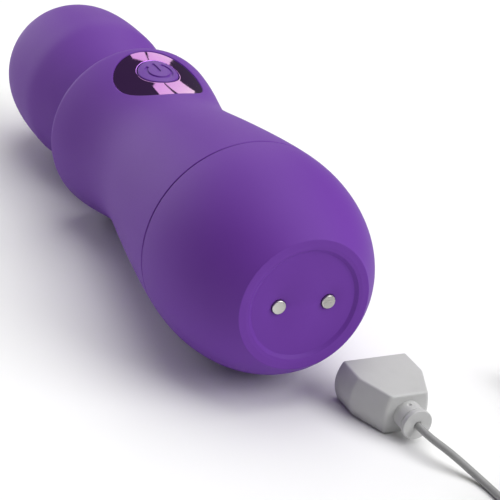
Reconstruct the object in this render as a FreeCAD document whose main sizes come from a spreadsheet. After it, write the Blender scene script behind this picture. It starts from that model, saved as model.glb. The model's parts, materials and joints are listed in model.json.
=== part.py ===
import FreeCAD, Part
import os
from math import cos, pi, radians, sin, tan
from types import SimpleNamespace

import Sketcher

# Handheld wand massager with its magnetic charging lead, in millimetres.
#
# Bench frame: the wand's axis is X, the flat charging end is at x = 0 and the head points to -X.
# A "station" is a distance from the charging end towards the head, so a point at a station has
# x = -station. The button faces +Z. The finished wand is laid on a table by LYING, head down by
# the small angle at which the base bulb and the shoulder both touch the surface.

Vec = FreeCAD.Vector
Turn = FreeCAD.Rotation
Place = FreeCAD.Placement
AXIS_X = Vec(1, 0, 0)
AXIS_Y = Vec(0, 1, 0)
AXIS_Z = Vec(0, 0, 1)
ORIGIN = Vec(0, 0, 0)
FAR = 400.0

doc = FreeCAD.newDocument("wand_massager")

# --------------------------------------------------------------------------- driving dimensions
DIMENSIONS = {
    # flat charging end
    "rim_radius": 13.0,
    "rim_width": 1.3,
    "recess_radius": 10.1,
    "recess_depth": 0.65,
    "recess_floor_wall": 1.65,
    "spigot_back": 21.0,
    "spigot_end": 30.0,
    "spigot_inner_radius": 16.2,
    "spigot_radius": 17.2,
    "spigot_root_radius": 18.2,
    "gasket_inner_radius": 17.4,
    "gasket_radius": 21.0,
    # silicone and plastic walls
    "skin_wall": 1.8,
    "shell_wall": 1.6,
    "head_skin_wall": 1.9,
    "seam_station": 26.5,
    "seam_width": 0.3,
    "cavity_front": 82.3,
    "shell_front": 85.6,
    "neck_opening_radius": 15.2,
    "screw_radius": 0.93,
    "screw_hole_radius": 0.95,
    "screw_head_radius": 1.85,
    "screw_well_radius": 1.95,
    "screw_boss_radius": 2.0,
    # resting attitude
    "rest_tilt_deg": 1.46,
    # button and trim, on axes leaning with the shoulder; the button sits a little forward in the trim
    "button_station": 75.96,
    "trim_station": 75.26,
    "button_lean_deg": 10.6,
    "trim_radius": 9.7,
    "trim_recess": 0.2,
    "trim_hole_radius": 4.7,
    "button_radius": 4.45,
    "button_proud": -0.1,
    "button_thickness": 2.0,
    "stem_radius": 1.6,
    "stem_end": 4.6,
    "plunger_radius": 0.9,
    "plunger_end": 6.1,
    "icon_radius": 2.75,
    "icon_line": 0.65,
    "icon_depth": 0.3,
    "icon_half_gap": 1.9,
    "icon_forward": 0.1,
    "icon_side": 0.2,
    "icon_turn_deg": 9.0,
    # charging contacts and magnets
    "contact_pitch": 10.0,
    "contact_radius": 1.35,
    "contact_stem_radius": 0.8,
    "contact_face_station": 0.2,
    "contact_end_station": 6.6,
    "magnet_radius": 2.3,
    "magnet_offset": 5.4,
    "carrier_radius": 8.9,
    "carrier_thickness": 1.2,
    # battery and electronics
    "battery_radius": 7.0,
    "battery_start": 31.0,
    "battery_length": 40.0,
    "battery_drop": 4.0,
    "board_start": 54.0,
    "board_end": 79.5,
    "board_height": 9.6,
    "board_thickness": 1.0,
    "board_half_width": 7.4,
    "tray_half_width": 8.4,
    # flexible neck
    "ball_radius": 5.0,
    "ball_fit": 0.08,
    "rear_ball_station": 84.0,
    "front_ball_station": 92.0,
    "coupler_waist_radius": 3.4,
    "anchor_radius": 8.5,
    "anchor_back": 78.2,
    "anchor_front": 87.4,
    "core_back": 89.5,
    # motor
    "can_radius": 6.0,
    "can_wall": 0.5,
    "can_start": 101.0,
    "can_end": 119.0,
    "shaft_radius": 0.9,
    "shaft_fit": 0.04,
    "bush_radius": 2.2,
    "weight_radius": 6.3,
    "weight_start": 121.2,
    "weight_length": 6.0,
    # charging plug, lying on the table
    "plug_front": 68.9,
    "plug_side": 17.6,
    "plug_half_width": 6.7,
    "plug_tail_half_width": 3.8,
    "plug_height": 8.1,
    "plug_bulge": 1.2,
    "plug_straight": 6.5,
    "plug_taper": 7.25,
    "barrel_radius": 2.7,
    "barrel_length": 3.3,
    "flange_radius": 3.0,
    "flange_length": 0.9,
    # cord
    "cord_diameter": 1.4,
    "coil_pitch": 1.45,
    "coil_mean_radius": 7.75,
    "coil_rows": 3.0,
    "coil_layers": 4.0,
    "coil_centre_x": 119.0,
    "coil_centre_y": 33.0,
    # USB plug at the far end of the cord
    "usb_shell_width": 12.0,
    "usb_shell_height": 4.5,
    "usb_shell_wall": 0.3,
    "usb_shell_length": 14.0,
    "usb_body_width": 14.5,
    "usb_body_height": 7.4,
    "usb_body_length": 18.0,
    "usb_relief_length": 8.0,
    "usb_tongue_height": 1.9,
    "usb_tail_x": 114.0,
    "usb_tail_y": 54.5,
}

# Outline of the handle: (station, radius) from the standing rim over the base bulb and the waist
# to the shoulder and its lip.
HANDLE_OUTLINE = [
    (0.0, 13.0), (3.2, 15.75), (8.0, 18.5), (14.0, 20.4), (22.0, 21.3), (29.5, 20.95),
    (39.0, 19.9), (52.0, 18.05), (63.5, 16.7), (72.0, 17.35), (80.0, 18.9), (85.0, 19.65),
    (86.8, 19.5), (87.4, 19.0),
]

# Outline of the head: (station, radius) from the hidden neck over the flare to the domed end.
HEAD_OUTLINE = [
    (84.5, 13.4), (90.0, 13.45), (95.0, 13.9), (99.5, 14.95), (104.0, 16.1), (108.0, 17.1),
    (110.0, 17.5), (112.0, 17.68), (115.0, 17.72), (119.0, 17.7), (124.0, 17.45), (128.0, 16.95),
    (131.0, 16.2), (134.0, 14.9), (137.0, 12.5), (139.3, 9.3), (140.9, 5.0), (141.3, 0.0),
]


class Size:
    """A number together with the expression that works it out from the sheet."""

    def __init__(self, value, text):
        self.value = value
        self.text = text

    def __add__(self, other):
        other = as_size(other)
        return Size(self.value + other.value, "(%s + %s)" % (self.text, other.text))

    def __sub__(self, other):
        other = as_size(other)
        return Size(self.value - other.value, "(%s - %s)" % (self.text, other.text))

    def __mul__(self, other):
        other = as_size(other)
        return Size(self.value * other.value, "(%s * %s)" % (self.text, other.text))

    def __neg__(self):
        return Size(-self.value, "(0 - %s)" % self.text)

    __radd__ = __add__
    __rmul__ = __mul__

    def __rsub__(self, other):
        return as_size(other) - self


def as_size(number):
    if isinstance(number, Size):
        return number
    return Size(float(number), "%.6g" % number)


def make_sheet():
    """The spreadsheet of driving dimensions, and the same dimensions as Size values."""
    sheet = doc.addObject("Spreadsheet::Sheet", "Sizes")
    for row, (name, value) in enumerate(DIMENSIONS.items(), start=1):
        sheet.set("A%d" % row, name)
        sheet.set("B%d" % row, str(value))
        sheet.setAlias("B%d" % row, name)
    doc.recompute()
    sizes = {name: Size(float(sheet.get(name)), "Sizes." + name) for name in DIMENSIONS}
    return SimpleNamespace(**sizes)


sz = make_sheet()
pieces = {}


# --------------------------------------------------------------------------- making sub-parts
def start_body(name, place):
    body = doc.addObject("PartDesign::Body", name)
    body.Label = name
    body.Placement = place
    pieces[name] = body
    return body


def new_sketch(body, role):
    """An empty sketch on one of the body's own origin planes."""
    plane = next(item for item in body.Origin.OriginFeatures if item.Role == role)
    sketch = body.newObject("Sketcher::SketchObject", body.Name + "_sketch")
    sketch.AttachmentSupport = [(plane, "")]
    sketch.MapMode = "FlatFace"
    return sketch


def hold(sketch, kind, geometry, point, size):
    """Set one coordinate of a sketch point, or a radius, and bind it to the sheet."""
    where = (geometry,) if point is None else (geometry, point)
    index = sketch.addConstraint(Sketcher.Constraint(kind, *where, size.value))
    sketch.setExpression("Constraints[%d]" % index, size.text)


def add_outline(sketch, corners):
    """A closed outline of straight lines whose corners are pairs of sizes."""
    corners = [(as_size(across), as_size(up)) for across, up in corners]
    first = sketch.GeometryCount
    count = len(corners)
    for k in range(count):
        start, end = corners[k], corners[(k + 1) % count]
        line = Part.LineSegment(Vec(start[0].value, start[1].value), Vec(end[0].value, end[1].value))
        sketch.addGeometry(line, False)
    for k in range(count):
        following = first + (k + 1) % count
        sketch.addConstraint(Sketcher.Constraint("Coincident", first + k, 2, following, 1))
        hold(sketch, "DistanceX", first + k, 1, corners[k][0])
        hold(sketch, "DistanceY", first + k, 1, corners[k][1])


def add_circle(sketch, across, up, radius):
    across, up, radius = as_size(across), as_size(up), as_size(radius)
    circle = Part.Circle(Vec(across.value, up.value), AXIS_Z, radius.value)
    index = sketch.addGeometry(circle, False)
    hold(sketch, "Radius", index, None, radius)
    hold(sketch, "DistanceX", index, 3, across)
    hold(sketch, "DistanceY", index, 3, up)


def add_feature(body, kind, sketch, length, middle=False, backwards=False):
    """Pad or pocket a sketch; a cut that changes nothing is an error."""
    before = body.Shape.Volume if kind == "Pocket" else None
    feature = body.newObject("PartDesign::" + kind, body.Name + "_" + kind.lower())
    feature.Profile = sketch
    length = as_size(length)
    feature.Length = length.value
    feature.setExpression("Length", length.text)
    feature.Midplane = middle
    feature.Reversed = backwards
    doc.recompute()
    if before is not None and body.Shape.Volume > before - 1e-6:
        raise ValueError(body.Name + ": the pocket cuts nothing")
    return feature


def turned(name, outline, place):
    """Body of revolution about the wand's axis; the outline is (station, radius) pairs."""
    body = start_body(name, place)
    sketch = new_sketch(body, "XZ_Plane")
    add_outline(sketch, [(-as_size(station), radius) for station, radius in outline])
    revolution = body.newObject("PartDesign::Revolution", name + "_turned")
    revolution.Profile = sketch
    revolution.ReferenceAxis = (sketch, ["H_Axis"])
    revolution.Angle = 360.0
    doc.recompute()
    return body


def tube_outline(start, end, inner, outer):
    return [(start, inner), (end, inner), (end, outer), (start, outer)]


def rod_outline(start, end, radius):
    return [(start, 0), (end, 0), (end, radius), (start, radius)]


def slab(name, corners, bottom, height, place):
    """Plate with an outline in station and side, from a height above the axis upwards."""
    lift = Place(Vec(0, 0, as_size(bottom).value), Turn())
    body = start_body(name, place * lift)
    sketch = new_sketch(body, "XY_Plane")
    add_outline(sketch, [(-as_size(station), side) for station, side in corners])
    add_feature(body, "Pad", sketch, height)
    return body


def rectangle(start, end, half_width):
    return [(start, -half_width), (end, -half_width), (end, half_width), (start, half_width)]


def discs(name, centres, radius, start, length, place):
    """Equal discs square to the wand's axis, padded towards the head from a start station."""
    shift = Place(Vec(-as_size(start).value, 0, 0), Turn())
    body = start_body(name, place * shift)
    sketch = new_sketch(body, "YZ_Plane")
    for side, up in centres:
        add_circle(sketch, side, up, radius)
    add_feature(body, "Pad", sketch, length, backwards=True)
    return body


def shaped(name, shape, place):
    """Sub-part whose curved shape is made with Part's own functions."""
    feature = doc.addObject("Part::Feature", name)
    feature.Label = name
    feature.Shape = shape
    feature.Placement = place
    pieces[name] = feature
    return feature


# --------------------------------------------------------------------------- curved outlines
def smooth(points):
    spline = Part.BSplineCurve()
    spline.interpolate(points)
    return spline


def inset(outline, depth):
    """Points of an outline moved square to its curve, inwards by depth."""
    points = [Vec(-station, 0, radius) for station, radius in outline]
    spline = smooth(points)
    moved = []
    for point in points:
        along = spline.tangent(spline.parameter(point))[0]
        if point.z == 0:
            along = Vec(0, 0, -1)
        moved.append(point + along.cross(AXIS_Y).normalize() * depth)
    return moved


def envelope(outline, depth, start=0.0, end=FAR):
    """Solid of revolution inside an outline, shrunk by depth, between two stations."""
    points = inset(outline, depth)
    curve = smooth(points).toShape()
    first, last = points[0], points[-1]
    edges = [curve]
    if last.z > 1e-6:
        edges.append(Part.makeLine(last, Vec(last.x, 0, 0)))
    edges.append(Part.makeLine(Vec(last.x, 0, 0), Vec(first.x, 0, 0)))
    edges.append(Part.makeLine(Vec(first.x, 0, 0), first))
    face = Part.Face(Part.Wire(Part.__sortEdges__(edges)))
    solid = face.revolve(ORIGIN, AXIS_X, 360)
    if start > 0 or end < FAR:
        solid = solid.common(rod(start, end, FAR / 4))
    return solid


def rod(start, end, radius, side=0.0, up=0.0):
    """Plain cylinder along the wand's axis between two stations."""
    return Part.makeCylinder(radius, end - start, Vec(-end, side, up), AXIS_X)


def sleeve(start, end, inner, outer):
    return rod(start, end, outer).cut(rod(start, end, inner))


# --------------------------------------------------------------------------- lying on the table
SKIN = sz.skin_wall.value
SHELL = SKIN + sz.shell_wall.value
HEAD_SKIN = sz.head_skin_wall.value
HEAD_WALL = HEAD_SKIN + sz.shell_wall.value


def lying_place():
    """Tilt the wand, then put the box of its outer surface on the origin at its bottom centre."""
    tilt = Place(ORIGIN, Turn(AXIS_Y, -sz.rest_tilt_deg.value))
    outside = envelope(HANDLE_OUTLINE, 0).fuse(envelope(HEAD_OUTLINE, 0))
    outside.Placement = tilt
    box = outside.optimalBoundingBox(False, False)
    return Place(Vec(-(box.XMin + box.XMax) / 2, 0, -box.ZMin), Turn()) * tilt


LYING = lying_place()

# Frames of the button and its trim: origin on the bulb's surface, Z square to it.
BUTTON_LEAN = Turn(AXIS_Y, sz.button_lean_deg.value)


def surface_radius(outline, station):
    """Radius of an outline's smooth curve at a station."""
    curve = smooth([Vec(-s, 0, r) for s, r in outline]).toShape()
    post = Part.makeLine(Vec(-station, 0, 0), Vec(-station, 0, FAR))
    return curve.distToShape(post)[1][0][0].z


BUTTON_RADIUS_HERE = surface_radius(HANDLE_OUTLINE, sz.button_station.value)
BUTTON_PLACE = Place(Vec(-sz.button_station.value, 0, BUTTON_RADIUS_HERE), BUTTON_LEAN)
TRIM_RADIUS_HERE = surface_radius(HANDLE_OUTLINE, sz.trim_station.value)
TRIM_PLACE = Place(Vec(-sz.trim_station.value, 0, TRIM_RADIUS_HERE), BUTTON_LEAN)


def button_rod(radius, low, high, place=BUTTON_PLACE):
    """Cylinder about the button's or the trim's axis, between two heights above the surface."""
    solid = Part.makeCylinder(radius, high - low, Vec(0, 0, low), AXIS_Z)
    solid.Placement = place
    return solid


# --------------------------------------------------------------------------- charging end
def make_charging_end():
    start = sz.seam_station.value - sz.seam_width.value / 2
    floor = sz.recess_depth.value
    skin_floor = floor + sz.recess_floor_wall.value
    shell_floor = skin_floor + sz.shell_wall.value

    recess_wall = Part.makeCone(sz.recess_radius.value, sz.rim_radius.value - sz.rim_width.value,
                                floor, Vec(-floor, 0, 0), AXIS_X)
    skin = envelope(HANDLE_OUTLINE, 0, 0, start)
    skin = skin.cut(envelope(HANDLE_OUTLINE, SKIN, skin_floor, start + 1)).cut(recess_wall)
    pin_sides = (-sz.contact_pitch.value / 2, sz.contact_pitch.value / 2)
    for side in pin_sides:
        skin = skin.cut(rod(0, skin_floor, sz.contact_radius.value, side))
    shaped("base_cap_skin", skin, LYING)

    shell = envelope(HANDLE_OUTLINE, SKIN, skin_floor, start)
    shell = shell.cut(envelope(HANDLE_OUTLINE, SHELL, shell_floor, start + 1))
    back, end, inner = sz.spigot_back.value, sz.spigot_end.value, sz.spigot_inner_radius.value
    spigot = sleeve(back, start, inner, sz.spigot_root_radius.value)
    spigot = spigot.fuse(sleeve(back, end, inner, sz.spigot_radius.value))
    shell = shell.fuse(spigot.common(envelope(HANDLE_OUTLINE, SKIN + 0.2)))
    for side in pin_sides:
        shell = shell.cut(rod(0, shell_floor, sz.contact_stem_radius.value, side))
    shaped("base_cap_shell", shell.removeSplitter(), LYING)

    # contact carrier: a disc behind the floor, with two magnet pockets and two pin holes
    carrier = discs("contact_carrier", [(0, 0)], sz.carrier_radius, shell_floor, sz.carrier_thickness, LYING)
    sketch = new_sketch(carrier, "YZ_Plane")
    for up in (-sz.magnet_offset, sz.magnet_offset):
        add_circle(sketch, 0, up, sz.magnet_radius)
    for side in (-1, 1):
        add_circle(sketch, sz.contact_pitch * (side / 2), 0, sz.contact_stem_radius)
    add_feature(carrier, "Pocket", sketch, sz.carrier_thickness)
    discs("base_magnets", [(0, -sz.magnet_offset), (0, sz.magnet_offset)], sz.magnet_radius,
          shell_floor, sz.carrier_thickness, LYING)

    # two nickel contacts: a wide flat head on a thinner stem
    contacts = discs("charging_contacts", [(sz.contact_pitch * (side / 2), 0) for side in (-1, 1)],
                     sz.contact_radius, sz.contact_face_station,
                     skin_floor - sz.contact_face_station.value, LYING)
    sketch = new_sketch(contacts, "YZ_Plane")
    for side in (-1, 1):
        add_circle(sketch, sz.contact_pitch * (side / 2), 0, sz.contact_stem_radius)
    add_feature(contacts, "Pad", sketch, sz.contact_end_station - sz.contact_face_station, backwards=True)

    seam_start = sz.seam_station - sz.seam_width * 0.5
    gasket = tube_outline(seam_start, seam_start + sz.seam_width, sz.gasket_inner_radius, sz.gasket_radius)
    turned("seam_gasket", gasket, LYING)


# --------------------------------------------------------------------------- handle
SCREW_SPOTS = [(36.0, 14.0), (36.0, -14.8), (50.0, 12.3)]   # (station, height) of each shell screw
SCREW_SEAT = -5.3   # side position of the face that a screw's head bears on


def cross_rod(station, up, radius, low, high):
    """Cylinder along Y."""
    return Part.makeCylinder(radius, high - low, Vec(-station, low, up), AXIS_Y)


def make_handle():
    start = sz.seam_station.value + sz.seam_width.value / 2
    front = sz.shell_front.value
    opening = rod(0, FAR / 2, sz.neck_opening_radius.value)
    window = button_rod(sz.trim_radius.value + 0.05, -7, 4, TRIM_PLACE)

    skin = envelope(HANDLE_OUTLINE, 0, start)
    skin = skin.cut(envelope(HANDLE_OUTLINE, SKIN, 0, front)).cut(opening)
    skin = skin.cut(window.cut(envelope(HANDLE_OUTLINE, SKIN)))
    shaped("handle_skin", skin, LYING)

    # two hard half shells, screwed together across the wand
    outer = envelope(HANDLE_OUTLINE, SKIN, start, front)
    cavity = envelope(HANDLE_OUTLINE, SHELL, 0, sz.cavity_front.value)
    inside = envelope(HANDLE_OUTLINE, SKIN + 0.4)
    bosses = [cross_rod(station, up, sz.screw_boss_radius.value, -12, 12).common(inside)
              for station, up in SCREW_SPOTS]
    shell = outer.cut(cavity).fuse(bosses)
    shell = shell.cut(rod(sz.cavity_front.value, front, sz.neck_opening_radius.value))
    shell = shell.cut(button_rod(5.3, -6, 3))
    for station, up in SCREW_SPOTS:
        shell = shell.cut(cross_rod(station, up, sz.screw_hole_radius.value, -7, 7.5))
        shell = shell.cut(cross_rod(station, up, sz.screw_well_radius.value, -30, SCREW_SEAT))
    half_box = Part.makeBox(FAR, FAR / 4, FAR / 2, Vec(-FAR, 0, -FAR / 4))
    left = shell.common(half_box)
    right = shell.cut(half_box)
    shaped("handle_shell_left", left, LYING)
    shaped("handle_shell_right", right, LYING)

    screws = []
    for station, up in SCREW_SPOTS:
        shank = cross_rod(station, up, sz.screw_radius.value, SCREW_SEAT, 6.8)
        head = cross_rod(station, up, sz.screw_head_radius.value, SCREW_SEAT - 1.2, SCREW_SEAT)
        socket = cross_rod(station, up, 0.7, SCREW_SEAT - 1.3, SCREW_SEAT - 0.5)
        screws.append(shank.fuse(head).cut(socket).removeSplitter())
    shaped("shell_screws", Part.makeCompound(screws), LYING)


# --------------------------------------------------------------------------- button and trim
def make_button():
    recess = sz.trim_recess.value
    plate = envelope(HANDLE_OUTLINE, recess).cut(envelope(HANDLE_OUTLINE, SKIN))
    plate = plate.common(button_rod(sz.trim_radius.value, -7, 4, TRIM_PLACE))
    plate = plate.common(rod(0, sz.shell_front.value, FAR / 4))
    shaped("button_trim", plate.cut(button_rod(sz.trim_hole_radius.value, -8, 5)), LYING)

    proud = sz.button_proud.value
    cap = button_rod(sz.button_radius.value, -sz.button_thickness.value + proud, 4)
    cap = cap.common(envelope(HANDLE_OUTLINE, -proud))
    cap = cap.fuse(button_rod(sz.stem_radius.value, -sz.stem_end.value, -1.0)).removeSplitter()
    # engraved on/off mark: an open ring and a bar from its middle out through the gap
    ring_outer = sz.icon_radius.value + sz.icon_line.value / 2
    ring_inner = ring_outer - sz.icon_line.value
    half_line = sz.icon_line.value / 2
    ring = Part.makeCylinder(ring_outer, 8, Vec(0, 0, -4), AXIS_Z)
    ring = ring.cut(Part.makeCylinder(ring_inner, 8, Vec(0, 0, -4), AXIS_Z))
    gap = sz.icon_half_gap.value
    ring = ring.cut(Part.makeBox(4, 2 * gap, 8, Vec(-4, -gap, -4)))
    bar_length = sz.icon_radius.value
    bar = Part.makeBox(bar_length, sz.icon_line.value, 8, Vec(-bar_length, -half_line, -4))
    mark = ring.fuse(bar)
    centre = Vec(-sz.icon_forward.value, sz.icon_side.value, 0)
    mark.Placement = BUTTON_PLACE * Place(centre, Turn(AXIS_Z, sz.icon_turn_deg.value))
    cap = cap.cut(mark.cut(envelope(HANDLE_OUTLINE, sz.icon_depth.value - proud)))
    shaped("power_button", cap, LYING)

    button_frame = LYING * BUTTON_PLACE
    plunger_foot = Place(Vec(0, 0, -sz.plunger_end.value), Turn())
    plunger = start_body("switch_plunger", button_frame * plunger_foot)
    sketch = new_sketch(plunger, "XY_Plane")
    add_circle(sketch, 0, 0, sz.plunger_radius)
    add_feature(plunger, "Pad", sketch, sz.plunger_end - sz.stem_end)

    seal = start_body("button_seal", button_frame * Place(Vec(0, 0, -3.3), Turn()))
    sketch = new_sketch(seal, "XY_Plane")
    add_circle(sketch, 0, 0, 5.25)
    add_circle(sketch, 0, 0, sz.stem_radius + 0.35)
    add_feature(seal, "Pad", sketch, 0.4)


# --------------------------------------------------------------------------- battery and electronics
def make_electronics():
    below = LYING * Place(Vec(0, 0, -sz.battery_drop.value), Turn())
    start = sz.battery_start
    end = sz.battery_start + sz.battery_length
    radius = sz.battery_radius
    turned("battery_cell", [
        (start, 0), (end, 0), (end, 2.4), (end - 0.9, 2.4), (end - 0.9, radius - 0.6),
        (end - 1.5, radius), (start + 0.5, radius), (start, radius - 0.5)], below)
    pads = turned("battery_pads", rod_outline(start - 1.4, start, radius - 0.6), below)
    sketch = new_sketch(pads, "YZ_Plane")
    sketch.AttachmentOffset = Place(Vec(0, 0, -end.value), Turn())
    add_circle(sketch, 0, 0, radius - 1.0)
    pads.AllowCompound = True
    add_feature(pads, "Pad", sketch, 1.3, backwards=True)

    # half-round cradle under the cell
    cradle = sleeve(34.0, 68.0, radius.value + 0.1, sz.tray_half_width.value)
    lower = Part.makeBox(FAR, FAR / 4, FAR / 8, Vec(-FAR, -FAR / 8, -FAR / 8))
    shaped("battery_cradle", cradle.common(lower), below)

    # bridge that stands on the cradle and carries the circuit board on four posts
    tray = slab("board_tray", rectangle(54.0, 68.0, sz.tray_half_width), -sz.battery_drop, 9.2, LYING)
    sketch = new_sketch(tray, "XY_Plane")
    add_outline(sketch, [(-68.5, -7.15), (-53.5, -7.15), (-53.5, 7.15), (-68.5, 7.15)])
    add_feature(tray, "Pocket", sketch, 8.0, backwards=True)
    sketch = new_sketch(tray, "XY_Plane")
    sketch.AttachmentOffset = Place(Vec(0, 0, 9.2), Turn())
    for station in (56.0, 66.0):
        for side in (-5.6, 5.6):
            add_circle(sketch, -station, side, 1.3)
    add_feature(tray, "Pad", sketch, sz.board_height + sz.battery_drop - 9.2)

    board_top = sz.board_height + sz.board_thickness
    slab("control_board", rectangle(sz.board_start, sz.board_end, sz.board_half_width), sz.board_height,
         sz.board_thickness, LYING)
    slab("control_chip", rectangle(61.0, 65.0, 2.0), board_top, 0.9, LYING)
    parts = start_body("board_parts", LYING * Place(Vec(0, 0, board_top.value), Turn()))
    parts.AllowCompound = True
    sketch = new_sketch(parts, "XY_Plane")
    for station in (56.5, 59.0, 67.5, 70.0):
        for side in (-4.6, 4.6):
            add_outline(sketch, [(-station, side - 0.5), (1.0 - station, side - 0.5),
                                 (1.0 - station, side + 0.5), (-station, side + 0.5)])
    add_feature(parts, "Pad", sketch, 0.6)
    discs("status_led", [(3.4, 12.4)], 0.9, 72.0, 1.2, LYING)

    # push switch, with a well for its moving plunger
    switch_station = sz.button_station.value + (BUTTON_RADIUS_HERE - board_top.value) * sin(
        radians(sz.button_lean_deg.value))
    housing = Part.makeBox(4.2, 4.2, 2.0, Vec(-switch_station - 2.1, -2.1, board_top.value))
    well = Part.makeCylinder(sz.plunger_radius.value + 0.3, 6, Vec(0, 0, -6.9), AXIS_Z)
    well.Placement = BUTTON_PLACE
    shaped("tact_switch", housing.cut(well), LYING)


# --------------------------------------------------------------------------- flexible neck and head
def make_neck():
    opening = sz.ball_radius.value + sz.ball_fit.value
    back = sz.anchor_back
    flange_start, flange_end = 80.0, sz.cavity_front
    turned("neck_anchor", [
        (back, 0), (back + 0.75, 0), (back + 0.75, opening), (sz.anchor_front, opening),
        (sz.anchor_front, sz.anchor_radius), (flange_end, sz.anchor_radius), (flange_end, 15.25),
        (flange_start, 15.25), (flange_start, sz.anchor_radius), (back, sz.anchor_radius)], LYING)

    balls = []
    for station in (sz.rear_ball_station, sz.front_ball_station):
        ball = doc.addObject("Part::Sphere", "coupler_ball")
        ball.setExpression("Radius", "Sizes.ball_radius")
        ball.Placement = Place(Vec(-station.value, 0, 0), Turn())
        balls.append(ball)
    waist = doc.addObject("Part::Cylinder", "coupler_waist")
    waist.setExpression("Radius", "Sizes.coupler_waist_radius")
    waist.setExpression("Height", "Sizes.front_ball_station - Sizes.rear_ball_station")
    waist.Placement = Place(Vec(-sz.front_ball_station.value, 0, 0), Turn(AXIS_Y, 90))
    fuse = doc.addObject("Part::MultiFuse", "flex_coupler")
    fuse.Label = "flex_coupler"
    fuse.Shapes = balls + [waist]
    fuse.Refine = True
    fuse.Placement = LYING
    pieces["flex_coupler"] = fuse


def make_head():
    core_back = sz.core_back.value
    joint = 126.0
    bore = sz.ball_radius.value + sz.ball_fit.value
    skin = envelope(HEAD_OUTLINE, 0).cut(envelope(HEAD_OUTLINE, HEAD_SKIN))
    skin = skin.cut(rod(0, 95.0, 11.5))
    shaped("head_skin", skin, LYING)

    core = envelope(HEAD_OUTLINE, HEAD_SKIN, core_back, joint)
    core = core.cut(envelope(HEAD_OUTLINE, HEAD_WALL, 98.6, joint + 1))
    core = core.cut(rod(core_back - 1, 97.3, bore))
    shaped("head_core", core, LYING)
    dome = envelope(HEAD_OUTLINE, HEAD_SKIN, joint).cut(envelope(HEAD_OUTLINE, HEAD_WALL, joint - 1))
    shaped("head_cap", dome, LYING)


def make_motor():
    can = sz.can_radius
    start, end = sz.can_start, sz.can_end
    bush = sz.bush_radius
    turned("motor_cradle", [
        (103.0, can + 0.02), (116.0, can + 0.02), (116.0, 7.2), (115.0, 7.2), (115.0, 13.6),
        (113.0, 13.6), (113.0, 7.2), (105.0, 7.2), (105.0, 11.6), (103.0, 11.6)], LYING)
    turned("motor_can", [
        (start, can - sz.can_wall), (end - 0.7, can - sz.can_wall), (end - 0.7, bush), (end, bush),
        (end, can), (start, can)], LYING)
    turned("motor_end_cap", tube_outline(start - 1.4, start, bush, can - 0.3), LYING)
    inner = sz.shaft_radius + sz.shaft_fit
    bushes = turned("motor_bushes", tube_outline(start - 1.8, start - 0.2, inner, bush), LYING)
    bushes.AllowCompound = True
    sketch = new_sketch(bushes, "YZ_Plane")
    sketch.AttachmentOffset = Place(Vec(0, 0, -(end.value - 0.9)), Turn())
    add_circle(sketch, 0, 0, bush)
    add_circle(sketch, 0, 0, inner)
    add_feature(bushes, "Pad", sketch, 1.6, backwards=True)

    # two arc magnets inside the can
    arc = sleeve(104.0, 115.0, 4.5, can.value - sz.can_wall.value)
    slot = Part.makeBox(FAR, 3.0, FAR / 8, Vec(-FAR, -1.5, -FAR / 16))
    shaped("motor_magnets", arc.cut(slot), LYING)

    shaft_end = sz.weight_start + sz.weight_length
    turned("motor_shaft", rod_outline(start - 2.2, shaft_end, sz.shaft_radius), LYING)
    armature = turned("motor_armature", tube_outline(105.0, 114.0, sz.shaft_radius, 4.1), LYING)
    sketch = new_sketch(armature, "YZ_Plane")
    add_outline(sketch, [(-0.45, 2.0), (0.45, 2.0), (0.45, 5.0), (-0.45, 5.0)])
    slot_cut = add_feature(armature, "Pocket", sketch, FAR, middle=True)
    pattern = armature.newObject("PartDesign::PolarPattern", "armature_slots")
    pattern.Originals = [slot_cut]
    pattern.Axis = (sketch, ["N_Axis"])
    pattern.Angle = 360.0
    pattern.Occurrences = 3
    armature.Tip = pattern
    doc.recompute()
    turned("motor_commutator", tube_outline(101.8, 104.4, sz.shaft_radius, 1.9), LYING)

    # eccentric weight: a hub with a half disc hanging below the shaft
    low = sz.weight_start.value
    high = low + sz.weight_length.value
    half = rod(low, high, sz.weight_radius.value)
    half = half.common(Part.makeBox(FAR, FAR / 8, FAR / 8, Vec(-FAR, -FAR / 16, -FAR / 8)))
    weight = half.fuse(rod(low, high, 2.3)).cut(rod(low, high, sz.shaft_radius.value)).removeSplitter()
    shaped("eccentric_weight", weight, LYING)


# --------------------------------------------------------------------------- wires and cord
def turn_angle(before, corner, after):
    return (corner - before).getAngle(after - corner)


def route_wire(points):
    """Straight runs joined by tangent arcs, as large as each pair of runs allows."""
    edges = []
    radii = []
    here = points[0]
    for before, corner, after in zip(points, points[1:], points[2:]):
        half_turn = turn_angle(before, corner, after) / 2
        setback = 0.45 * min((corner - before).Length, (after - corner).Length)
        radius = setback / tan(half_turn)
        into = (corner - before).normalize()
        out = (after - corner).normalize()
        start = corner - into * setback
        end = corner + out * setback
        centre = corner + (out - into).normalize() * (radius / cos(half_turn))
        middle = centre + (corner - centre).normalize() * radius
        edges.append(Part.LineSegment(here, start).toShape())
        edges.append(Part.Arc(start, middle, end).toShape())
        radii.append(radius)
        here = end
    edges.append(Part.LineSegment(here, points[-1]).toShape())
    return Part.Wire(edges), radii


def tube(points, radius):
    """Round tube along a route."""
    wire, radii = route_wire(points)
    direction = points[1] - points[0]
    section = Part.Wire(Part.makeCircle(radius, points[0], direction))
    solid = wire.makePipeShell([section], True, True)
    expected = pi * radius ** 2 * wire.Length
    return solid, wire.Length, radii, abs(solid.Volume / expected - 1)


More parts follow.
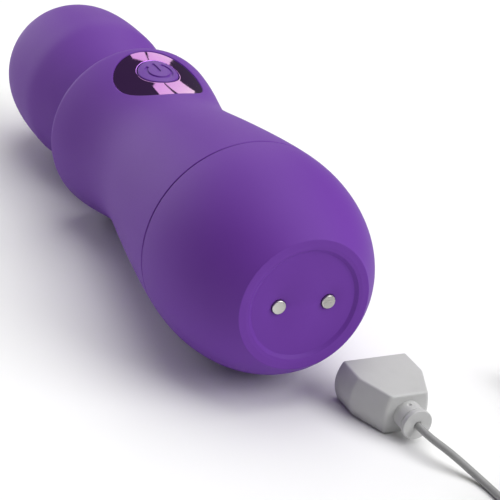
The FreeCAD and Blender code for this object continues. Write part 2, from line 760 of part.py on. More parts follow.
def make_leads():
    """Thin wires inside the handle: (node, one route per wire as station, side, height)."""
    routes = {
        "charging_leads": [[(6.8, side * 5.0, 0.0), (12.0, side * 7.5, 1.0), (20.0, side * 9.5, 3.0),
                            (30.0, side * 9.8, 6.0), (42.0, side * 9.0, 8.6), (53.4, side * 5.0, 10.1)]
                           for side in (-1, 1)],
        "battery_leads": [[(72.5, side * 2.0, -7.0), (75.0, side * 3.0, -5.0), (76.3, side * 4.5, 0.0),
                           (75.4, side * 6.0, 5.5), (75.4, side * 6.0, 9.55)] for side in (-1, 1)],
        "motor_leads": [[(77.0, side * 1.6, 9.55), (77.0, side * 1.6, 6.5), (76.2, side * 1.4, 3.0),
                         (76.6, side * 1.0, 0.0), (78.15, side * 1.0, 0.0)] for side in (-1, 1)],
    }
    for name, wires in routes.items():
        solids = [tube([Vec(-s, y, z) for s, y, z in wire], 0.4)[0] for wire in wires]
        shaped(name, Part.makeCompound(solids), LYING)


def make_cord():
    radius = sz.cord_diameter.value / 2
    centre_x, centre_y = sz.coil_centre_x.value, sz.coil_centre_y.value
    pitch, mean = sz.coil_pitch.value, sz.coil_mean_radius.value
    outer_turn = mean + pitch * (sz.coil_rows.value - 1) / 2
    plug_exit_x = (sz.plug_front.value + sz.plug_straight.value + sz.plug_taper.value
                   + sz.barrel_length.value + sz.flange_length.value)
    plug_height = sz.plug_height.value / 2
    side = sz.plug_side.value
    lead = [
        Vec(plug_exit_x, side, plug_height),
        Vec(plug_exit_x + 3.4, side, plug_height),
        Vec(plug_exit_x + 8.2, side + 2.2, 3.2),
        Vec(plug_exit_x + 13.6, side + 5.5, radius),
        Vec(plug_exit_x + 20.0, side + 6.1, radius),
        Vec(centre_x - 4.4, centre_y - outer_turn - 0.4, radius),
        Vec(centre_x, centre_y - outer_turn, radius),
    ]
    top_layer = radius + pitch * (sz.coil_layers.value - 1)
    leave_x = centre_x + outer_turn
    usb_x, usb_y, usb_middle = sz.usb_tail_x.value, sz.usb_tail_y.value, sz.usb_body_height.value / 2
    tail = [
        Vec(leave_x, centre_y, top_layer),
        Vec(leave_x + 0.3, centre_y + 5.0, top_layer - 0.45),
        Vec(leave_x, centre_y + 11.5, 3.0),
        Vec(usb_x + 11.4, usb_y - 3.3, 2.6),
        Vec(usb_x + 6.0, usb_y, usb_middle),
        Vec(usb_x, usb_y, usb_middle),
    ]
    total = 0.0
    for name, route in (("cord_lead", lead), ("cord_tail", tail)):
        solid, length, radii, error = tube(route, radius)
        shaped(name, solid, Place())
        total += length
        print("%s: %.1f mm, radii %s, volume error %.4f"
              % (name, length, ["%.1f" % bend for bend in radii], error))
    width = pitch * (sz.coil_rows.value - 1) / 2 + radius
    coil = start_body("cord_coil", Place(Vec(centre_x, centre_y, 0), Turn()))
    sketch = new_sketch(coil, "XY_Plane")
    add_circle(sketch, 0, 0, mean + width)
    add_circle(sketch, 0, 0, mean - width)
    add_feature(coil, "Pad", sketch, sz.cord_diameter + sz.coil_pitch * (sz.coil_layers - 1))
    turns = sz.coil_rows.value * sz.coil_layers.value
    total += turns * 2 * pi * mean
    print("cord: %.0f mm in all" % total)


# --------------------------------------------------------------------------- charging plug
def plug_section(x, half_width, height):
    """Flat top and bottom, with sides that bulge outwards."""
    bulge = sz.plug_bulge.value * half_width / sz.plug_half_width.value
    corners = [Vec(x, -half_width, 0), Vec(x, half_width, 0),
               Vec(x, half_width, height), Vec(x, -half_width, height)]
    edges = [
        Part.makeLine(corners[0], corners[1]),
        Part.Arc(corners[1], Vec(x, half_width + bulge, height / 2), corners[2]).toShape(),
        Part.makeLine(corners[2], corners[3]),
        Part.Arc(corners[3], Vec(x, -half_width - bulge, height / 2), corners[0]).toShape(),
    ]
    return Part.Wire(edges)


def make_plug():
    front_x = sz.plug_front.value
    place = Place(Vec(front_x, sz.plug_side.value, 0), Turn())
    height = sz.plug_height.value
    length = sz.plug_straight.value + sz.plug_taper.value
    wide, narrow = sz.plug_half_width.value, sz.plug_tail_half_width.value
    body = Part.makeLoft([plug_section(0, wide, height), plug_section(sz.plug_straight.value, wide, height)],
                         True, True)
    tail = Part.makeLoft([plug_section(sz.plug_straight.value, wide, height),
                          plug_section(length, narrow, height)], True, True)
    body = body.fuse(tail).removeSplitter()
    pitch = sz.contact_pitch.value
    for side in (-pitch / 2, pitch / 2):
        body = body.cut(Part.makeCylinder(1.6, 5.0, Vec(0, side, height / 2), AXIS_X))
    for side in (-2.1, 2.1):
        body = body.cut(Part.makeCylinder(1.5, 3.0, Vec(0, side, height / 2), AXIS_X))
    shaped("plug_body", body, place)

    middle = place * Place(Vec(0, 0, height / 2), Turn())
    pins = start_body("plug_pins", middle * Place(Vec(1.3, 0, 0), Turn()))
    pins.AllowCompound = True
    sketch = new_sketch(pins, "YZ_Plane")
    for side in (-1, 1):
        add_circle(sketch, sz.contact_pitch * (side / 2), 0, 1.2)
    add_feature(pins, "Pad", sketch, 3.7)
    magnets = start_body("plug_magnets", middle * Place(Vec(0.2, 0, 0), Turn()))
    magnets.AllowCompound = True
    sketch = new_sketch(magnets, "YZ_Plane")
    for side in (-2.1, 2.1):
        add_circle(sketch, side, 0, 1.5)
    add_feature(magnets, "Pad", sketch, 2.8)

    neck = start_body("plug_neck", middle * Place(Vec(length, 0, 0), Turn()))
    for start, radius, size in ((0.0, sz.barrel_radius, sz.barrel_length),
                                (sz.barrel_length.value, sz.flange_radius, sz.flange_length)):
        sketch = new_sketch(neck, "YZ_Plane")
        sketch.AttachmentOffset = Place(Vec(0, 0, start), Turn())
        add_circle(sketch, 0, 0, radius)
        add_feature(neck, "Pad", sketch, size)


# --------------------------------------------------------------------------- USB plug
def usb_block(name, start, length, half_width, half_height, inner=None):
    """Block along -X from the cord's end, at the height of the plug's middle."""
    tail = Vec(sz.usb_tail_x.value - start.value, sz.usb_tail_y.value, sz.usb_body_height.value / 2)
    body = start_body(name, Place(tail, Turn()))
    sketch = new_sketch(body, "YZ_Plane")
    add_outline(sketch, [(-half_width, -half_height), (half_width, -half_height),
                         (half_width, half_height), (-half_width, half_height)])
    if inner is not None:
        add_outline(sketch, [(-inner[0], -inner[1]), (inner[0], -inner[1]), (inner[0], inner[1]),
                             (-inner[0], inner[1])])
    add_feature(body, "Pad", sketch, length, backwards=True)
    return body


def make_usb():
    relief = sz.usb_relief_length
    body_end = relief + sz.usb_body_length
    half_width, half_height = sz.usb_body_width * 0.5, sz.usb_body_height * 0.5
    shell_half = (sz.usb_shell_width * 0.5, sz.usb_shell_height * 0.5)
    inner_half = (shell_half[0] - sz.usb_shell_wall, shell_half[1] - sz.usb_shell_wall)
    overmould = usb_block("usb_overmould", relief, sz.usb_body_length, half_width, half_height)
    long_edges = ["Edge%d" % number for number, edge in enumerate(overmould.Shape.Edges, start=1)
                  if abs(edge.tangentAt(edge.FirstParameter).x) > 0.99]
    base = overmould.Tip
    fillet = overmould.newObject("PartDesign::Fillet", "usb_overmould_fillet")
    fillet.Base = (base, long_edges)
    fillet.Radius = 1.6
    doc.recompute()
    usb_block("usb_shell", body_end, sz.usb_shell_length, shell_half[0], shell_half[1], inner_half)
    tail = Vec(sz.usb_tail_x.value - body_end.value, sz.usb_tail_y.value, sz.usb_body_height.value / 2)
    tongue = start_body("usb_tongue", Place(tail + Vec(0, 0, -inner_half[1].value), Turn()))
    sketch = new_sketch(tongue, "YZ_Plane")
    add_outline(sketch, [(-inner_half[0], 0), (inner_half[0], 0),
                         (inner_half[0], sz.usb_tongue_height), (-inner_half[0], sz.usb_tongue_height)])
    add_feature(tongue, "Pad", sketch, sz.usb_shell_length - 1.0, backwards=True)
    tongue_top = sz.usb_tongue_height.value - inner_half[1].value
    contacts = start_body("usb_contacts", Place(tail + Vec(0, 0, tongue_top), Turn()))
    contacts.AllowCompound = True
    sketch = new_sketch(contacts, "YZ_Plane")
    for side in (-3.5, -1.0, 1.0, 3.5):
        add_outline(sketch, [(side - 0.5, 0), (side + 0.5, 0), (side + 0.5, 0.15), (side - 0.5, 0.15)])
    add_feature(contacts, "Pad", sketch, sz.usb_shell_length - 3.0, backwards=True)
    relief_solid = Part.makeCone(sz.cord_diameter.value / 2 + 0.5, 2.6, relief.value, ORIGIN, -AXIS_X)
    shaped("usb_strain_relief", relief_solid,
           Place(Vec(sz.usb_tail_x.value, sz.usb_tail_y.value, sz.usb_body_height.value / 2), Turn()))


# --------------------------------------------------------------------------- build, test, write
make_charging_end()
make_handle()
make_button()
make_electronics()
make_neck()
make_head()
make_motor()
make_leads()
make_plug()
make_cord()
make_usb()
doc.recompute()

for item in doc.Objects:
    for word in ("Invalid", "Error"):
        if word in item.State:
            raise ValueError("%s is %s" % (item.Name, item.State))

os.makedirs("parts", exist_ok=True)
for name, piece in pieces.items():
    if piece.Shape.isNull() or not piece.Shape.isValid():
        raise ValueError(name + " has no valid shape")
    piece.Shape.exportStep("parts/%s.step" % name)
print(len(pieces), "sub-parts written")
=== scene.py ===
import json
from math import atan2, cos, pi, radians, sin, sqrt, tan

import bmesh
import bpy
import numpy as np
from mathutils import Matrix, Vector


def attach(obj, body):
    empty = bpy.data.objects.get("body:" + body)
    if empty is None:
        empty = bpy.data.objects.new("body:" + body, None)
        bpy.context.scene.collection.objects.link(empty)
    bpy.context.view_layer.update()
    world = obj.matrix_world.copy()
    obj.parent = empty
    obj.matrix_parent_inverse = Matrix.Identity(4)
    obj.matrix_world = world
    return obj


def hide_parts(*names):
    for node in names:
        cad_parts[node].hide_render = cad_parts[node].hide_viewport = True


# A handheld wand massager lying on a pale table, with its magnetic charging lead beside it.
# Lengths are in metres. In the wand's own frame +X points out of the charging end, +Z through
# the button, and a "station" is a distance from the charging end towards the head.

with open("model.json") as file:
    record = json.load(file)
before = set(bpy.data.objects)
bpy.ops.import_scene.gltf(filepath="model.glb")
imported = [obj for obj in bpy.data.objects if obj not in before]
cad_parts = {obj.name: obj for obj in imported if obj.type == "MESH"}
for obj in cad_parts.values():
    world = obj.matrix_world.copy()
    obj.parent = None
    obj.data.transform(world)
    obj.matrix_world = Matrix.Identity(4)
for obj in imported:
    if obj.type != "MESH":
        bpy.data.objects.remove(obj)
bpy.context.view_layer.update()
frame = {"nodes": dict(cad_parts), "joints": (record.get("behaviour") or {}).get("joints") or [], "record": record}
MM = 0.001
JOINTS = {joint["name"]: joint for joint in frame["joints"]}


# --------------------------------------------------------------------------- camera
def make_camera():
    right = Vector((0.41128, 0.90349, 0.12064))
    down = Vector((0.44646, -0.08428, -0.89083))
    ahead = Vector((-0.79469, 0.42024, -0.43803))
    data = bpy.data.cameras.new("camera")
    data.sensor_width = 36.0
    data.lens = 108.0
    data.clip_start = 0.01
    data.clip_end = 20.0
    camera = bpy.data.objects.new("camera", data)
    turn = Matrix((right, -down, -ahead)).transposed().to_4x4()
    camera.matrix_world = Matrix.Translation((0.27549, -0.12095, 0.14727)) @ turn
    bpy.context.scene.collection.objects.link(camera)
    bpy.context.scene.camera = camera


make_camera()


# --------------------------------------------------------------------------- the wand's frame
def wand_frame():
    """From the wand's own frame to the row frame, worked out from the motor's and the neck's joints."""
    axis = Vector(JOINTS["motor_spin"]["axis"]).normalized()
    side = Vector((0, 1, 0))
    up = axis.cross(side)
    rim = Vector(JOINTS["neck_pitch"]["pos_m"]) + axis * (84.0 * MM)
    turn = Matrix((axis, side, up)).transposed().to_4x4()
    return Matrix.Translation(rim) @ turn


WAND = wand_frame()

# Outlines in millimetres: (station, radius), the same as the solid model's.
HANDLE_OUTLINE = [
    (0.0, 13.0), (3.2, 15.75), (8.0, 18.5), (14.0, 20.4), (22.0, 21.3), (29.5, 20.95),
    (39.0, 19.9), (52.0, 18.05), (63.5, 16.7), (72.0, 17.35), (80.0, 18.9), (85.0, 19.65),
    (86.8, 19.5), (87.4, 19.0),
]
HEAD_OUTLINE = [
    (84.5, 13.4), (90.0, 13.45), (95.0, 13.9), (99.5, 14.95), (104.0, 16.1), (108.0, 17.1),
    (110.0, 17.5), (112.0, 17.68), (115.0, 17.72), (119.0, 17.7), (124.0, 17.45), (128.0, 16.95),
    (131.0, 16.2), (134.0, 14.9), (137.0, 12.5), (139.3, 9.3), (140.9, 5.0), (141.3, 0.0),
]


def smooth_curve(points, count):
    """Natural cubic through the points, by chord length, as evenly spaced (station, radius) rows."""
    points = np.array(points, float)
    gaps = np.sqrt((np.diff(points, axis=0) ** 2).sum(axis=1))
    knots = np.concatenate([[0.0], np.cumsum(gaps)])
    size = len(points)
    system = np.eye(size)
    wanted = np.zeros((size, 2))
    for k in range(1, size - 1):
        before, after = gaps[k - 1], gaps[k]
        system[k, k - 1], system[k, k], system[k, k + 1] = before, 2 * (before + after), after
        wanted[k] = 6 * ((points[k + 1] - points[k]) / after - (points[k] - points[k - 1]) / before)
    bend = np.linalg.solve(system, wanted)
    rows = []
    for along in np.linspace(0.0, knots[-1], count):
        k = min(max(np.searchsorted(knots, along) - 1, 0), size - 2)
        gap = gaps[k]
        a, b = (knots[k + 1] - along) / gap, (along - knots[k]) / gap
        rows.append(a * points[k] + b * points[k + 1]
                    + ((a ** 3 - a) * bend[k] + (b ** 3 - b) * bend[k + 1]) * gap ** 2 / 6)
    return np.array(rows)


HANDLE_CURVE = smooth_curve(HANDLE_OUTLINE, 1200)
HEAD_CURVE = smooth_curve(HEAD_OUTLINE, 260)


def handle_radius(station):
    return np.interp(station, HANDLE_CURVE[:, 0], HANDLE_CURVE[:, 1])


def part_of(curve, start, end, step):
    """Points of a curve between two stations, about a step apart, both ends included."""
    count = max(2, int(round((end - start) / step)) + 1)
    stations = np.linspace(start, end, count)
    return [(s, float(np.interp(s, curve[:, 0], curve[:, 1]))) for s in stations]


def filleted(corners, steps=6):
    """A line through (across, up, radius) corners, with each corner rounded to its radius."""
    line = []
    count = len(corners)
    for k, (across, up, radius) in enumerate(corners):
        here = Vector((across, up))
        if radius == 0 or k == 0 or k == count - 1:
            line.append((across, up))
            continue
        into = (here - Vector(corners[k - 1][:2])).normalized()
        out = (Vector(corners[k + 1][:2]) - here).normalized()
        half_turn = into.angle(out) / 2
        setback = radius * tan(half_turn)
        middle = here + (out - into).normalized() * (radius / cos(half_turn))
        first = here - into * setback - middle
        side = 1 if into.x * out.y - into.y * out.x > 0 else -1
        line.append(tuple(here - into * setback * 1.35))
        for step in range(steps + 1):
            angle = side * 2 * half_turn * step / steps
            spoke = Vector((first.x * cos(angle) - first.y * sin(angle),
                            first.x * sin(angle) + first.y * cos(angle)))
            line.append(tuple(middle + spoke))
        line.append(tuple(here + out * setback * 1.35))
    return line


# --------------------------------------------------------------------------- meshes
def new_object(name, vertices, faces, material, place=Matrix.Identity(4), scale=MM):
    mesh = bpy.data.meshes.new(name)
    mesh.from_pydata([tuple(place @ (Vector(v) * scale)) for v in vertices], [], faces)
    mesh.validate()
    mesh.update()
    mesh.polygons.foreach_set("use_smooth", [True] * len(mesh.polygons))
    mesh.materials.append(material)
    piece = bpy.data.objects.new(name, mesh)
    bpy.context.scene.collection.objects.link(piece)
    return piece


def outward(piece):
    """Make all faces agree, pointing outwards."""
    work = bmesh.new()
    work.from_mesh(piece.data)
    bmesh.ops.remove_doubles(work, verts=work.verts, dist=1e-8)
    bmesh.ops.recalc_face_normals(work, faces=work.faces)
    work.to_mesh(piece.data)
    work.free()
    return piece


def even_normals(piece):
    """Keep large flat faces flat beside their small rounded edges."""
    modifier = piece.modifiers.new("weighted", "WEIGHTED_NORMAL")
    modifier.mode = "FACE_AREA"
    modifier.weight = 90
    modifier.keep_sharp = True
    return piece


def turn_rings(profile, segments, closed=False, vertices=None, faces=None):
    """Rings of a surface of revolution about X: station along -X, the seam of the turn below."""
    vertices = [] if vertices is None else vertices
    faces = [] if faces is None else faces
    rings = []
    for station, radius in profile:
        if radius < 1e-6:
            rings.append([len(vertices)])
            vertices.append((-station, 0.0, 0.0))
            continue
        rings.append(list(range(len(vertices), len(vertices) + segments)))
        for k in range(segments):
            angle = 2 * pi * k / segments
            vertices.append((-station, -radius * sin(angle), -radius * cos(angle)))
    pairs = list(zip(rings, rings[1:]))
    if closed:
        pairs.append((rings[-1], rings[0]))
    for one, two in pairs:
        for k in range(segments):
            n = (k + 1) % segments
            if len(one) == 1:
                faces.append((one[0], two[k], two[n]))
            elif len(two) == 1:
                faces.append((one[k], two[0], one[n]))
            else:
                faces.append((one[k], two[k], two[n], one[n]))
    return vertices, faces, rings


# --------------------------------------------------------------------------- materials
def new_material(name):
    material = bpy.data.materials.new(name)
    material.use_nodes = True
    nodes = material.node_tree.nodes
    return material, nodes, material.node_tree.links, nodes["Principled BSDF"]


def noise(nodes, links, scale, detail=3.0, roughness=0.5, stretch=None):
    """A noise in the object's own coordinates; stretch lengthens its grain along an axis."""
    place = nodes.new("ShaderNodeTexCoord")
    texture = nodes.new("ShaderNodeTexNoise")
    texture.inputs["Scale"].default_value = scale
    texture.inputs["Detail"].default_value = detail
    texture.inputs["Roughness"].default_value = roughness
    if stretch is None:
        links.new(place.outputs["Object"], texture.inputs["Vector"])
        return texture.outputs["Fac"]
    mapping = nodes.new("ShaderNodeMapping")
    mapping.inputs["Scale"].default_value = stretch
    links.new(place.outputs["Object"], mapping.inputs["Vector"])
    links.new(mapping.outputs["Vector"], texture.inputs["Vector"])
    return texture.outputs["Fac"]


def ranged(nodes, links, source, low, high):
    node = nodes.new("ShaderNodeMapRange")
    node.inputs["From Min"].default_value = 0.3
    node.inputs["From Max"].default_value = 0.7
    node.inputs["To Min"].default_value = low
    node.inputs["To Max"].default_value = high
    links.new(source, node.inputs["Value"])
    return node.outputs["Result"]


def blended(nodes, links, source, low, high):
    node = nodes.new("ShaderNodeValToRGB")
    node.color_ramp.elements[0].position = 0.3
    node.color_ramp.elements[1].position = 0.7
    node.color_ramp.elements[0].color = (*low, 1.0)
    node.color_ramp.elements[1].color = (*high, 1.0)
    links.new(source, node.inputs["Fac"])
    return node.outputs["Color"]


def bumped(nodes, links, height, depth, strength=1.0, under=None):
    node = nodes.new("ShaderNodeBump")
    node.inputs["Distance"].default_value = depth
    node.inputs["Strength"].default_value = strength
    links.new(height, node.inputs["Height"])
    if under is not None:
        links.new(under, node.inputs["Normal"])
    return node.outputs["Normal"]


def shaded(colour, share):
    return tuple(min(1.0, c * share) for c in colour)


def surface(name, colour, rough, metal=0.0, spread=0.08, mottle=90.0, grain=3500.0, depth=0.00001,
            rough_spread=0.06, sheen=0.0, stretch=None, coat=0.0, clear=0.0, gloss=0.5):
    """A moulded or machined surface: broad mottling, fine grain in its gloss and in its relief."""
    material, nodes, links, shader = new_material(name)
    broad = noise(nodes, links, mottle, 4.0, 0.6)
    links.new(blended(nodes, links, broad, shaded(colour, 1 - spread), shaded(colour, 1 + spread)),
              shader.inputs["Base Color"])
    fine = noise(nodes, links, grain, 2.0, 0.55, stretch)
    links.new(ranged(nodes, links, fine, rough - rough_spread, rough + rough_spread),
              shader.inputs["Roughness"])
    links.new(bumped(nodes, links, fine, depth), shader.inputs["Normal"])
    shader.inputs["Metallic"].default_value = metal
    shader.inputs["Specular IOR Level"].default_value = gloss
    shader.inputs["Sheen Weight"].default_value = sheen
    shader.inputs["Sheen Roughness"].default_value = 0.4
    shader.inputs["Sheen Tint"].default_value = (0.86, 0.78, 1.0, 1.0)
    shader.inputs["Coat Weight"].default_value = coat
    shader.inputs["Coat Roughness"].default_value = 0.08
    shader.inputs["Transmission Weight"].default_value = clear
    return material


SILICONE = (0.152, 0.040, 0.347)
LOOKS = {
    "purple_silicone": surface("purple_silicone", SILICONE, 0.58, spread=0.025, mottle=45.0, grain=5200.0,
                               depth=0.000004, rough_spread=0.04, sheen=0.02, gloss=0.2),
    "button_silicone": surface("button_silicone", (0.146, 0.039, 0.335), 0.46, spread=0.03, mottle=160.0,
                               grain=6000.0, depth=0.000003, rough_spread=0.04, sheen=0.04, gloss=0.32),
    "trim_plate": surface("trim_plate", (0.42, 0.17, 0.65), 0.06, metal=1.0, spread=0.04, mottle=120.0,
                          grain=900.0, depth=0.000001, rough_spread=0.02),
    "inner_plastic": surface("inner_plastic", (0.045, 0.04, 0.055), 0.55, spread=0.12, grain=2600.0),
    "nickel": surface("nickel", (0.60, 0.59, 0.56), 0.30, metal=1.0, spread=0.05, grain=2500.0,
                      depth=0.000004, stretch=(1.0, 0.08, 1.0)),
    "steel": surface("steel", (0.50, 0.50, 0.51), 0.32, metal=1.0, spread=0.06, grain=2200.0,
                     depth=0.000006, stretch=(0.1, 1.0, 1.0)),
    "magnet": surface("magnet", (0.42, 0.42, 0.44), 0.25, metal=1.0, spread=0.07, grain=1800.0),
    "copper_winding": surface("copper_winding", (0.62, 0.24, 0.09), 0.35, metal=1.0, spread=0.15,
                              grain=1500.0, depth=0.00004, stretch=(0.15, 1.0, 1.0)),
    "brass": surface("brass", (0.70, 0.52, 0.22), 0.30, metal=1.0, spread=0.06, grain=1600.0,
                     stretch=(1.0, 0.2, 1.0)),
    "bronze": surface("bronze", (0.45, 0.28, 0.13), 0.50, metal=1.0, spread=0.12, grain=2800.0,
                      depth=0.00002),
    "circuit_board": surface("circuit_board", (0.012, 0.13, 0.05), 0.38, spread=0.2, mottle=700.0,
                             grain=1800.0, coat=0.2),
    "black_part": surface("black_part", (0.018, 0.018, 0.02), 0.48, spread=0.15, grain=2600.0),
    "battery_wrap": surface("battery_wrap", (0.03, 0.13, 0.28), 0.28, spread=0.08, grain=700.0,
                            depth=0.00003, coat=0.2),
    "foam": surface("foam", (0.07, 0.07, 0.075), 0.95, spread=0.3, mottle=1500.0, grain=1800.0,
                    depth=0.00012),
    "wire": surface("wire", (0.33, 0.02, 0.02), 0.42, spread=0.1, grain=1800.0),
    "led": surface("led", (0.88, 0.88, 0.92), 0.18, spread=0.03, grain=1500.0, clear=0.6),
    "coupler_rubber": surface("coupler_rubber", (0.022, 0.021, 0.025), 0.62, spread=0.15, grain=2400.0,
                              depth=0.00002),
    "gasket": surface("gasket", (0.050, 0.016, 0.11), 0.55, spread=0.1, grain=2600.0),
    "plug_plastic": surface("plug_plastic", (0.54, 0.54, 0.54), 0.44, spread=0.03, mottle=220.0,
                            grain=4200.0, depth=0.000008, rough_spread=0.05),
    "cord_jacket": surface("cord_jacket", (0.33, 0.33, 0.33), 0.50, spread=0.05, mottle=260.0,
                           grain=3800.0, depth=0.000008),
    "usb_insert": surface("usb_insert", (0.80, 0.80, 0.79), 0.35, spread=0.03, grain=2600.0),
    "gold": surface("gold", (0.83, 0.58, 0.22), 0.22, metal=1.0, spread=0.04, grain=1600.0),
}


def dress_cad_nodes():
    """Give every node of the solid model that stays its own slot's material."""
    slots = {row["node"]: row["material_slot"] for row in frame["record"]["subparts"]}
    for name, node in frame["nodes"].items():
        node.data.materials.clear()
        node.data.materials.append(LOOKS[slots[name]])


dress_cad_nodes()


def finish_piece(piece, body, slot, *nodes):
    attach(piece, body)
    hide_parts(*nodes)
    return piece


# --------------------------------------------------------------------------- cord
CORD_DIAMETER = 1.4
COIL_CENTRE = (119.0, 33.0)
COIL_RADII = (9.2, 7.75, 6.3)
COIL_LAYERS = (0.7, 2.15, 3.6, 5.05)
LEAD_ROUTE = [
    (86.85, 17.6, 4.05), (90.25, 17.6, 4.05), (95.05, 19.8, 3.2), (100.45, 23.1, 0.7),
    (106.85, 23.7, 0.7), (114.6, 23.4, 0.7),
]
TAIL_ROUTE = [
    (128.5, 38.0, 4.6), (128.2, 44.5, 3.0), (125.4, 51.2, 2.6), (120.0, 54.5, 3.7), (114.0, 54.5, 3.7),
]
TURN_STEPS = 16


def coil_route():
    """Turns of the put-away cord: in and out again, one layer on the other."""
    points = []
    for layer, height in enumerate(COIL_LAYERS):
        radii = COIL_RADII if layer % 2 == 0 else COIL_RADII[::-1]
        for row, radius in enumerate(radii):
            for step in range(TURN_STEPS):
                angle = -pi / 2 + 2 * pi * step / TURN_STEPS
                points.append((COIL_CENTRE[0] + radius * cos(angle),
                               COIL_CENTRE[1] + radius * sin(angle), height))
    last = COIL_LAYERS[-1]
    for step in range(5):
        angle = -pi / 2 + pi / 2 * step / 4
        points.append((COIL_CENTRE[0] + COIL_RADII[0] * cos(angle),
                       COIL_CENTRE[1] + COIL_RADII[0] * sin(angle), last))
    return points


def make_cord():
    route = LEAD_ROUTE + coil_route() + TAIL_ROUTE
    curve = bpy.data.curves.new("charging_cord", "CURVE")
    curve.dimensions = "3D"
    spline = curve.splines.new("NURBS")
    spline.points.add(len(route) - 1)
    for point, place in zip(spline.points, route):
        point.co = (*(c * MM for c in place), 1.0)
    spline.order_u = 3
    spline.use_endpoint_u = True
    spline.resolution_u = 6
    curve.bevel_depth = CORD_DIAMETER / 2 * MM
    curve.bevel_resolution = 5
    curve.use_fill_caps = True
    curve.materials.append(LOOKS["cord_jacket"])
    cord = bpy.data.objects.new("charging_cord", curve)
    bpy.context.scene.collection.objects.link(cord)
    return finish_piece(cord, "handle", "cord_jacket", "cord_lead", "cord_coil", "cord_tail")


cord = make_cord()


# --------------------------------------------------------------------------- silicone covers
TRIM_STATION = 75.26
BUTTON_STATION = 75.96
BUTTON_LEAN = radians(10.6)
TRIM_RADIUS = 9.7
HOLE_RADIUS = 4.7
PLATE_DEPTH = 0.2
BUTTON_RADIUS = 4.45
BUTTON_DEPTH = 0.1
BUTTON_CROWN = 0.12


def on_shoulder(station):
    """Frame on the bulb's surface above a station, leaning with the shoulder."""
    return (Matrix.Translation((-station, 0, float(handle_radius(station))))
            @ Matrix.Rotation(BUTTON_LEAN, 4, "Y"))


TRIM_FRAME = on_shoulder(TRIM_STATION)
BUTTON_SHIFT = (TRIM_FRAME.inverted() @ on_shoulder(BUTTON_STATION).translation).x


def on_bulb(across, side):
    """Height, along the trim's axis, of the bulb's surface above or below the trim's origin."""
    low, high = np.full_like(across, -14.0), np.full_like(across, 6.0)
    lean_c, lean_s = cos(BUTTON_LEAN), sin(BUTTON_LEAN)
    base = TRIM_FRAME.translation
    for _ in range(40):
        height = (low + high) / 2
        x = base.x + across * lean_c + height * lean_s
        z = base.z - across * lean_s + height * lean_c
        outside = np.sqrt(side ** 2 + z ** 2) > handle_radius(-x)
        high = np.where(outside, height, high)
        low = np.where(outside, low, height)
    return (low + high) / 2


def button_ring(radius, depth, angles, shift=0.0):
    """Points round an axis shifted from the trim's own, a depth under the bulb's surface."""
    across, side = shift + radius * np.cos(angles), radius * np.sin(angles)
    height = on_bulb(across, side) - depth
    return [tuple(TRIM_FRAME @ Vector(p)) for p in zip(across, side, height)]


def ring_stack(rings, angles, vertices, faces, first=None):
    """Join rings (distance, depth, shift) about the trim's axis into a strip of quads."""
    count = len(angles)
    before = first
    for radius, depth, shift in rings:
        ring = list(range(len(vertices), len(vertices) + count))
        vertices.extend(button_ring(radius, depth, angles, shift))
        if before is not None:
            for k in range(count):
                n = (k + 1) % count
                faces.append((before[k], before[n], ring[n], ring[k]))
        before = ring
    return before


def window_border(vertices, faces, reach):
    """Open a jagged hole round the button and give its border's points in order, with their angles."""
    local = np.array([tuple(TRIM_FRAME.inverted() @ Vector(v)) for v in vertices])
    near = (np.hypot(local[:, 0], local[:, 1]) < reach) & (local[:, 2] > -9)
    kept = [face for face in faces if not any(near[i] for i in face)]
    ahead = {}
    edges = {(a, b) for face in kept for a, b in zip(face, face[1:] + face[:1])}
    for a, b in edges:
        close = np.hypot(*local[a, :2]) < reach + 2.0 and local[a, 2] > -9
        if (b, a) not in edges and close:
            ahead[a] = b
    start = next(iter(ahead))
    loop = [start]
    while ahead[loop[-1]] != start:
        loop.append(ahead[loop[-1]])
    angles = np.unwrap([atan2(local[i, 1], local[i, 0]) for i in loop])
    if angles[-1] < angles[0]:
        loop, angles = loop[::-1], np.unwrap(angles[::-1])
    for k in range(1, len(angles)):
        angles[k] = max(angles[k], angles[k - 1] + 1e-4)
    return kept, loop, angles


def make_handle_cover():
    outer = part_of(HANDLE_CURVE, 27.0, 86.5, 0.3)
    lip = filleted([(86.5, handle_radius(86.5), 0), (87.4, 19.1, 0.4), (87.4, 15.2, 0.5), (84.0, 15.2, 0)])
    back = filleted([(30.0, 19.2, 0), (26.65, 19.4, 0.1), (26.65, handle_radius(26.65), 0.18),
                     (27.0, handle_radius(27.0), 0)])
    vertices, faces, _ = turn_rings(back[:-1] + outer + lip[1:], 384)
    faces, border, angles = window_border(vertices, faces, 10.45)
    edge = [(10.3, 0), (10.08, 0), (10.0, 0.004), (9.93, 0.02), (9.87, 0.05), (9.82, 0.1), (9.785, 0.17),
            (9.77, 0.26), (9.76, 0.5), (9.76, 1.7)]
    ring_stack([(radius, depth, 0.0) for radius, depth in edge], angles, vertices, faces, border)
    cover = new_object("handle_cover", vertices, faces, LOOKS["purple_silicone"], WAND)
    return finish_piece(outward(cover), "handle", "purple_silicone", "handle_skin")


def make_head_cover():
    dome = [tuple(row) for row in HEAD_CURVE if row[0] > 85.1]
    dome[-1] = (141.3, 0.0)
    mouth = filleted([(95.0, 11.6, 0), (84.5, 11.6, 0.5), (84.5, 13.4, 0.5), (85.4, 13.4, 0)])
    vertices, faces, _ = turn_rings(mouth[:-1] + dome, 320)
    cover = new_object("head_cover", vertices, faces, LOOKS["purple_silicone"], WAND)
    return finish_piece(outward(cover), "head", "purple_silicone", "head_skin")


CONTACT_SIDES = (-5.0, 5.0)
RECESS_DEPTH = 0.65
CONTACT_STATION = 0.2
RECESS_RADIUS = 10.35
FLOOR_RADIUS = 8.9


def circle_points(radius, side, station, count):
    return [(-station, side + radius * sin(2 * pi * k / count), radius * cos(2 * pi * k / count))
            for k in range(count)]


